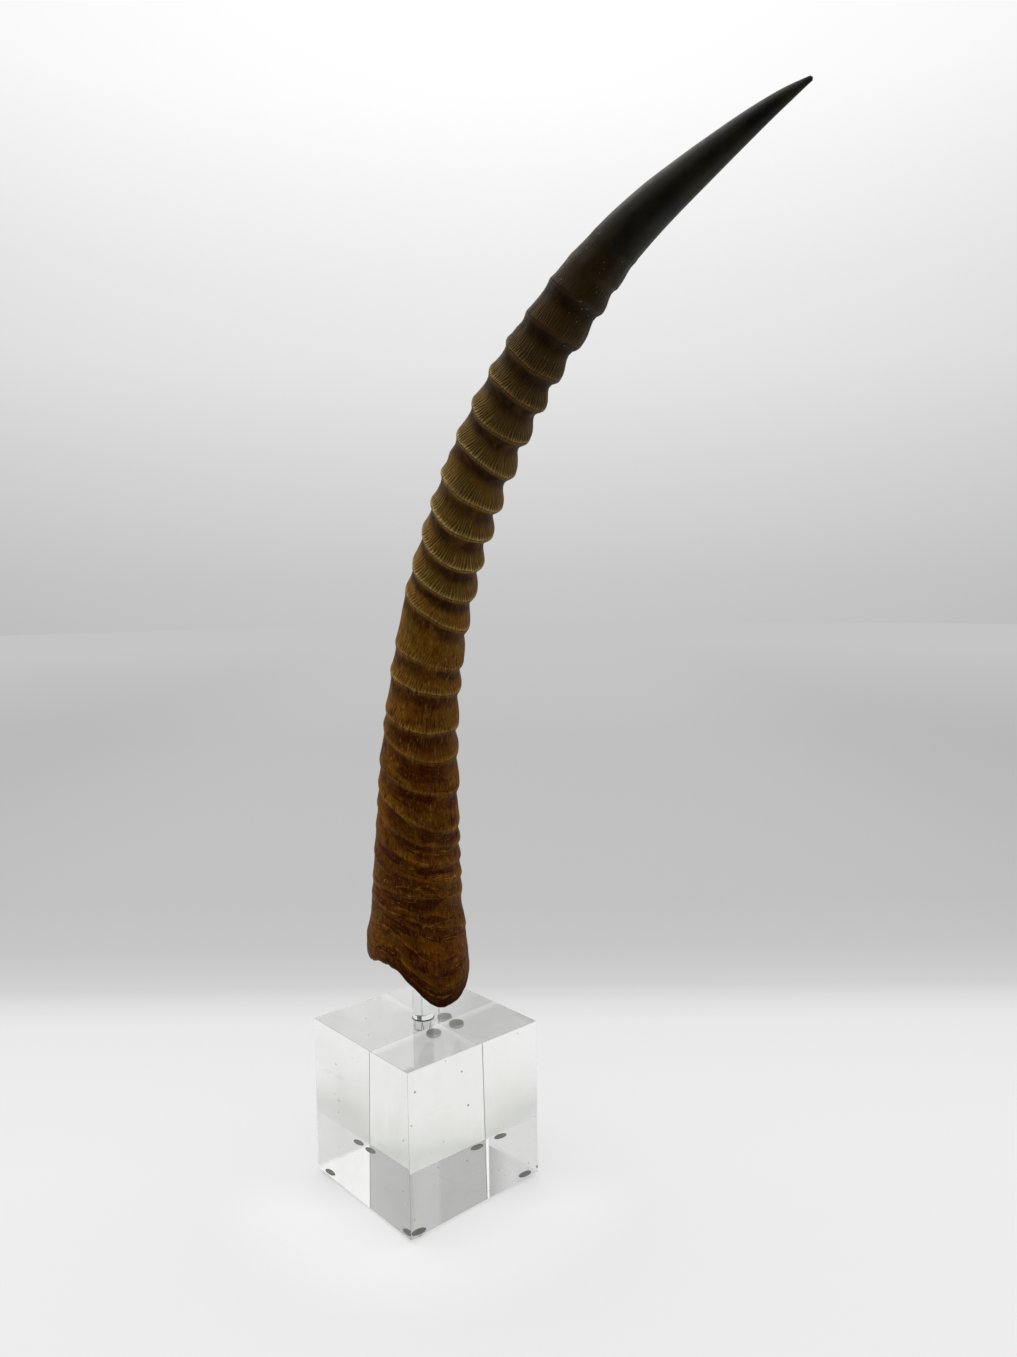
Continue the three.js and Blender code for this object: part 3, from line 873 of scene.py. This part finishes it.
def lathe(bm, profile, segments, centre):
    """Turns (radius, height) points about an upright line through centre. A radius of 0 makes an end."""
    turns = [FULL_TURN * k / segments for k in range(segments)]
    rings, faces = [], []
    for radius, height in profile:
        ring = []
        for a in turns if radius else [0.0]:
            place = (centre[0] + radius * math.cos(a), centre[1] + radius * math.sin(a), height)
            ring.append(bm.verts.new(place))
        rings.append(ring)
    for low, high in zip(rings[:-1], rings[1:]):
        for k in range(segments):
            n = (k + 1) % segments
            if len(low) == 1:
                corners = (low[0], high[n], high[k])
            elif len(high) == 1:
                corners = (low[k], low[n], high[0])
            else:
                corners = (low[k], low[n], high[n], high[k])
            faces.append(bm.faces.new(corners))
    return rings, faces


def add_bore(bm):
    """Opens the top of the block for the bore. Round it, each corner has a fan of triangles."""
    top = max(bm.faces, key=lambda face: face.calc_center_median().z)
    corners = sorted(top.verts, key=lambda v: azimuth_from(ROD_CENTRE, v.co) % FULL_TURN)
    bmesh.ops.delete(bm, geom=[top], context="FACES_ONLY")
    floor = cube_high.z - BORE_DEPTH * MM
    bore, edge = (ROD_RADIUS + BORE_GAP) * MM, BORE_EDGE * MM
    profile = [(bore + edge, cube_high.z), (bore, cube_high.z - edge), (bore, floor), (0, floor)]
    rings, _ = lathe(bm, profile, ROD_SEGMENTS, ROD_CENTRE)
    mouth = rings[0]
    quarter = ROD_SEGMENTS // 4
    for c in range(4):
        for k in range(c * quarter, (c + 1) * quarter):
            bm.faces.new((corners[c], mouth[(k + 1) % ROD_SEGMENTS], mouth[k]))
        bm.faces.new((corners[c], corners[(c + 1) % 4], mouth[(c + 1) * quarter % ROD_SEGMENTS]))


def add_bead(bm):
    """The bead of cement round the rod's foot, only on the side facing the camera: partly cement, partly a
    painted dark arc where the joint shows dark.
    """
    inner, foot = (ROD_RADIUS + BEAD_GAP) * MM, cube_high.z + BEAD_GAP * MM
    bead = [(inner, foot), (inner + BEAD_WIDTH * MM, foot), (inner, foot + BEAD_HEIGHT * MM), (inner, foot)]
    _, faces = lathe(bm, bead, ROD_SEGMENTS, ROD_CENTRE)
    dry = []
    for face in faces:
        face.material_index = CEMENT_AND_PAINTED_DARK_INDEX
        if abs(turned(azimuth_from(ROD_CENTRE, face.calc_center_median()), BEAD_AZIMUTH)) > BEAD_REACH:
            dry.append(face)
    bmesh.ops.delete(bm, geom=dry, context="FACES")


def add_painted_dark_line(bm):
    """A painted dark line: a grey strip just inside the far upright edge shows as a thin dark line through
    the two faces opposite.
    """
    near, far = (distance * MM for distance in PAINTED_DARK_LINE)
    bottom, top = cube_low.z + far, cube_high.z - far
    corners = ((far, near, bottom), (near, far, bottom), (near, far, top), (far, near, top))
    line = [bm.verts.new((cube_low.x + a, cube_high.y - b, z)) for a, b, z in corners]
    bm.faces.new(line).material_index = CEMENT_AND_PAINTED_DARK_INDEX


def build_cube(materials):
    """The solid block: polished faces, lightly broken edges and the bore that the rod is cemented into."""
    bm = bmesh.new()
    bmesh.ops.create_cube(bm, size=1.0)
    bmesh.ops.scale(bm, vec=cube_high - cube_low, verts=bm.verts)
    bmesh.ops.translate(bm, vec=(cube_low + cube_high) / 2, verts=bm.verts)
    bmesh.ops.bevel(bm, geom=bm.edges[:], offset=EDGE * MM, segments=1, affect="EDGES", profile=0.5)
    for face in bm.faces:
        if face.calc_area() < LARGEST_EDGE_AREA:
            face.material_index = EDGE_INDEX
    add_bore(bm)
    bmesh.ops.recalc_face_normals(bm, faces=bm.faces[:])
    add_bead(bm)
    add_painted_dark_line(bm)
    return mesh_object("acrylic_cube", bm, materials)


def build_rod(acrylic):
    bm = bmesh.new()
    radius, chamfer = ROD_RADIUS * MM, ROD_CHAMFER * MM
    floor = cube_high.z - (BORE_DEPTH - BORE_GAP) * MM
    profile = [
        (0, floor), (radius - chamfer, floor), (radius, floor + chamfer),
        (radius, rod_top - chamfer), (radius - chamfer, rod_top), (0, rod_top),
    ]
    lathe(bm, profile, ROD_SEGMENTS, ROD_CENTRE)
    bmesh.ops.recalc_face_normals(bm, faces=bm.faces[:])
    return mesh_object("acrylic_rod", bm, [acrylic])


def build_foot(index, rubber):
    """A low round bumper with a rounded edge. Its top is stuck to the cube, so it reaches a hair into it."""
    low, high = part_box(f"foot_{index}")
    centre = ((low.x + high.x) / 2, (low.y + high.y) / 2)
    radius, height, roll = (high.x - low.x) / 2, cube_low.z + FOOT_BITE * MM, FOOT_ROLL * MM
    profile = [(0, 0.0)]
    for k in range(FOOT_ROLL_STEPS + 1):
        a = math.pi / 2 * k / FOOT_ROLL_STEPS
        profile.append((radius - roll + roll * math.sin(a), roll - roll * math.cos(a)))
    contact = radius - FOOT_INSET * MM
    across, down = FOOT_BEVEL
    profile += [(contact + across * MM, height - down * MM), (contact, height), (0, height)]
    bm = bmesh.new()
    lathe(bm, profile, FOOT_SEGMENTS, centre)
    bmesh.ops.recalc_face_normals(bm, faces=bm.faces[:])
    return mesh_object(f"bumper_foot_{index}", bm, [rubber])


# ---- the pieces ----

acrylic = acrylic_material("acrylic_block")
rod_acrylic = acrylic_material("acrylic_rod", haze=0.012, sheen=0.7, specks=False)
# grey for the cement bead, partly a painted dark arc, and for the painted dark line
cement = cement_and_painted_dark_material()
rubber = rubber_material()

horn = build_horn()
horn.data.materials.append(horn_material())
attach(horn, "root")
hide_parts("horn")

cube = build_cube([acrylic, cement, edge_material()])
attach(cube, "root")
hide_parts("stand_cube")

rod = build_rod(rod_acrylic)
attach(rod, "root")
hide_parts("stand_rod")

for index in range(1, 5):
    foot = build_foot(index, rubber)
    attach(foot, "root")
    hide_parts(f"foot_{index}")

# ---- the camera, at the photograph's viewing angle ----

CAMERA_OFFSET = (380.18, -282.93, 288.89)
CAMERA_FORWARD = Vector((-0.74212, 0.66306, -0.09803))
CAMERA_UP = Vector((-0.06545, 0.07388, 0.99512))
LENS = 27.03
SENSOR = 36

camera_data = bpy.data.cameras.new("camera")
camera_data.lens = LENS
camera_data.sensor_width = SENSOR
camera_data.clip_start = 0.01
camera_data.clip_end = 50
camera = bpy.data.objects.new("camera", camera_data)
forward = CAMERA_FORWARD.normalized()
right = forward.cross(CAMERA_UP).normalized()
up = right.cross(forward)
facing = Matrix((right, up, -forward)).transposed()
camera.matrix_world = Matrix.Translation(Vector(in_row_frame(CAMERA_OFFSET))) @ facing.to_4x4()
scene.collection.objects.link(camera)
scene.camera = camera

# ---- a pale floor, painted with a pool of light that softens into a grey distance, and an even studio sky. They have a tone for
# ---- what the camera sees and another for what lights the horn and shows in the acrylic ----

# level directions away from the photograph's viewpoint, and to the right of it
BACK = Vector((forward.x, forward.y, 0)).normalized()
SIDE = Vector((right.x, right.y, 0)).normalized()
HORIZON = 0.565

FLOOR_RADIUS = 6.0
# b / (b + 1) for b metres behind the stand, and the floor's tone there
FLOOR_TONES = [
    (0.0, 0.82), (0.087, 0.8), (0.145, 0.775), (0.167, 0.705), (0.188, 0.605),
    (0.234, 0.535), (0.297, 0.51), (0.58, 0.505), (0.857, HORIZON),
]
# the tint of the floor close to the cube, a painted shadow of the stand, out to this many metres from the
# stand's axis
PAINTED_SHADOW_REACH = 0.2
PAINTED_SHADOW_TINTS = [
    (0.2, 0.86, 0.87, 0.85), (0.25, 0.79, 0.8, 0.77), (0.31, 0.9, 0.91, 0.88),
    (0.42, 0.99, 0.99, 0.97), (0.75, 1.02, 1.02, 1.01),
]
FLOOR_REFLECTED = 0.45
FLOOR_OWN_LIGHT = 0.55

# the sine of the elevation from LOWEST_RISE (0) to HIGHEST_RISE (1), and the tone seen there
LOWEST_RISE, HIGHEST_RISE = -0.1, 0.9
SKY_TONES = [
    (0.0, HORIZON - 0.03), (0.1, HORIZON + 0.02), (0.213, 0.695), (0.294, 0.79), (0.371, 0.845),
    (0.442, 0.92), (0.506, 0.995), (0.565, 1.02),
]
# how far to the side, squared, and what the tone is multiplied by there
SKY_SIDE_TONES = [(0.0, 1.0), (0.2, 0.92)]
# the studio through the acrylic, in degrees: two azimuths, and the tone or elevation at each
PANEL = (-4.6, -4.4, 0.505, 0.435)
PANEL_LEFT = (-6.1, -8.4, -0.09, -0.055)
PANEL_JOINT = (-6.2, -5.95, 0.0, 0.085)
WINDOW_SILL = (105.0, 107.8, 29.86, 30.555)
WALL_TOP = (-82.0, -85.0, 30.18, 31.456)
UPPER_WALL = (-82.15, -83.3, 0.42, 0.62)
WALL_STRIP = (-82.12, -82.06, 0.0, 0.95)
CEILING_FROM, CEILING_TO, CEILING_TONE = 44.0, 68.0, 1.05
RIGHT_FROM, LEFT_FROM = (55.0, 62.0), (-55.0, -62.0)
OVERHEAD_TONE = 1.3


def ray_kinds(t):
    """1 where a ray comes straight from the camera, or has come through the acrylic, or is mirrored."""
    rays = t.nodes.new("ShaderNodeLightPath")
    return [rays.outputs[name] for name in ("Is Camera Ray", "Is Transmission Ray", "Is Glossy Ray")]


def build_floor():
    """A painted pool of light: white round the stand, a little darker to the sides, falling off to the grey
    of the horizon. Half of its light is its own.
    """
    bm = bmesh.new()
    bmesh.ops.create_circle(bm, cap_ends=True, segments=96, radius=FLOOR_RADIUS)
    floor = mesh_object("floor", bm, [])
    material, t = new_material("pale_floor")
    place = t.vector("SUBTRACT", t.add("ShaderNodeTexCoord", output="Object"), tuple(STAND_AT))
    behind = t.vector("DOT_PRODUCT", place, tuple(BACK))
    beside = t.math("ABSOLUTE", t.vector("DOT_PRODUCT", place, tuple(SIDE)))
    far = t.vector("LENGTH", place)
    back = t.math("MAXIMUM", behind, 0.0)
    # painted pool of light: bright round the stand, falling to grey behind it, and a little darker to the
    # sides
    tone = t.ramp(t.math("DIVIDE", back, t.plus(back, 1.0)), FLOOR_TONES)
    tone = t.mix(t.step(far, 0.7, 4.5), tone, grey(HORIZON))
    tone = t.mix(t.times(t.step(beside, 0.3, 0.9, 0.0, 0.09), t.step(far, 4.5, 0.8)), tone, grey(0.0))
    # for the acrylic and the horn it is painted dark on the near side, as shade on the camera's side of the
    # studio, and greyest close to the stand, as a painted shadow of the stand
    hidden = t.mix(t.step(behind, -0.08, -0.4, 0.0, 0.88), tone, grey(0.0))
    hidden = t.tinted(hidden, t.ramp(t.spread(far, 0.0, PAINTED_SHADOW_REACH), PAINTED_SHADOW_TINTS))
    # light that the cube throws forward fills its own shadow on the near side
    thrown = t.times(t.step(far, 0.05, 0.11, 0.13, 0.0), t.spread(behind, 0.0, -0.03))
    boost = t.plus(thrown, 1.0)
    shown = t.tinted(tone, t.add("ShaderNodeCombineXYZ", {0: boost, 1: boost, 2: boost}))
    seen, _, _ = ray_kinds(t)
    tone = t.mix(seen, hidden, shown)
    t.cover(
        {
            "Base Color": t.tinted(tone, grey(FLOOR_REFLECTED)), "Roughness": 0.9,
            "Specular IOR Level": 0.0, "Emission Color": tone, "Emission Strength": FLOOR_OWN_LIGHT,
        }
    )
    floor.data.materials.append(material)


def seen_through_acrylic(t, azimuth, elevation):
    """A grey backdrop under a bright ceiling, a bright window to the right and a paler wall to the left."""
    panel = t.plus(*(t.spread(azimuth, *part) for part in (PANEL, PANEL_LEFT, PANEL_JOINT)))
    backdrop = t.step(elevation, CEILING_FROM, CEILING_TO, panel, CEILING_TONE)
    above_sill = t.math("SUBTRACT", elevation, t.spread(azimuth, *WINDOW_SILL))
    window = t.spread(above_sill, -0.04, 0.04, 0.69, 0.93)
    above_wall = t.math("SUBTRACT", elevation, t.spread(azimuth, *WALL_TOP))
    wall = t.blend(t.spread(above_wall, -0.05, 0.05), 0.7, t.spread(azimuth, *UPPER_WALL))
    wall = t.math("MAXIMUM", wall, t.spread(azimuth, *WALL_STRIP))
    refracted = t.blend(t.spread(azimuth, *RIGHT_FROM), backdrop, window)
    return t.blend(t.spread(azimuth, *LEFT_FROM), refracted, wall)


def light_on_horn(t, rise, back):
    """Bright overhead, grey behind and beside, dark on the side of the camera."""
    level = t.step(back, 0.25, -0.45, 0.62, 0.02)
    return t.blend(t.step(rise, 0.3, 0.85), level, OVERHEAD_TONE)


def build_sky():
    """The camera sees a plain grey to white gradient. The acrylic and the horn see the studio round them."""
    world = bpy.data.worlds.new("studio")
    scene.world = world
    t = Tree(world)
    direction = t.add("ShaderNodeTexCoord", output="Generated")
    axes = ((0.0, 0.0, 1.0), BACK, SIDE)
    rise, back, side = (t.vector("DOT_PRODUCT", direction, tuple(axis)) for axis in axes)
    elevation = t.times(t.math("ARCSINE", rise), math.degrees(1))
    azimuth = t.times(t.math("ARCTAN2", side, back), math.degrees(1))

    shown = t.ramp(t.spread(rise, LOWEST_RISE, HIGHEST_RISE), SKY_TONES)
    shown = t.tinted(shown, t.ramp(t.math("MINIMUM", t.times(side, side), 0.2), SKY_SIDE_TONES))

    seen, through_acrylic, mirrored = ray_kinds(t)
    # the cube's top mirrors a wall that is bright to the left and to the right, and dim between them
    band = t.times(t.spread(elevation, 17.0, 20.0), t.spread(elevation, 33.0, 30.0))
    wall_behind = t.plus(t.step(azimuth, -5.5, -2.0, 1.5, 0.42), t.spread(azimuth, 0.0, 6.0))
    lighting = t.blend(t.times(band, mirrored), light_on_horn(t, rise, back), wall_behind)
    colour = t.mix(through_acrylic, lighting, seen_through_acrylic(t, azimuth, elevation))
    colour = t.mix(seen, colour, shown)
    t.finish("ShaderNodeOutputWorld", t.add("ShaderNodeBackground", {"Color": colour, "Strength": 1.0}))


SOFTBOX_WIDTH = 1.6
SOFTBOX_POWER = 9.0
SOFTBOX_AT = STAND_AT + BACK * 0.4 - SIDE * 0.5 + Vector((0, 0, 2.2))
SOFTBOX_AIM = STAND_AT + Vector((0, 0, 0.2))


def add_softbox():
    data = bpy.data.lights.new("overhead_softbox", "AREA")
    data.shape = "DISK"
    data.size = SOFTBOX_WIDTH
    data.energy = SOFTBOX_POWER
    light = bpy.data.objects.new("overhead_softbox", data)
    light.location = SOFTBOX_AT
    light.rotation_euler = (SOFTBOX_AIM - SOFTBOX_AT).to_track_quat("-Z", "Y").to_euler()
    scene.collection.objects.link(light)


build_floor()
build_sky()
add_softbox()

scene.view_settings.view_transform = "Standard"
scene.cycles.max_bounces = 24
scene.cycles.glossy_bounces = 12
scene.cycles.transmission_bounces = 16
scene.cycles.diffuse_bounces = 4
scene.cycles.transparent_max_bounces = 16
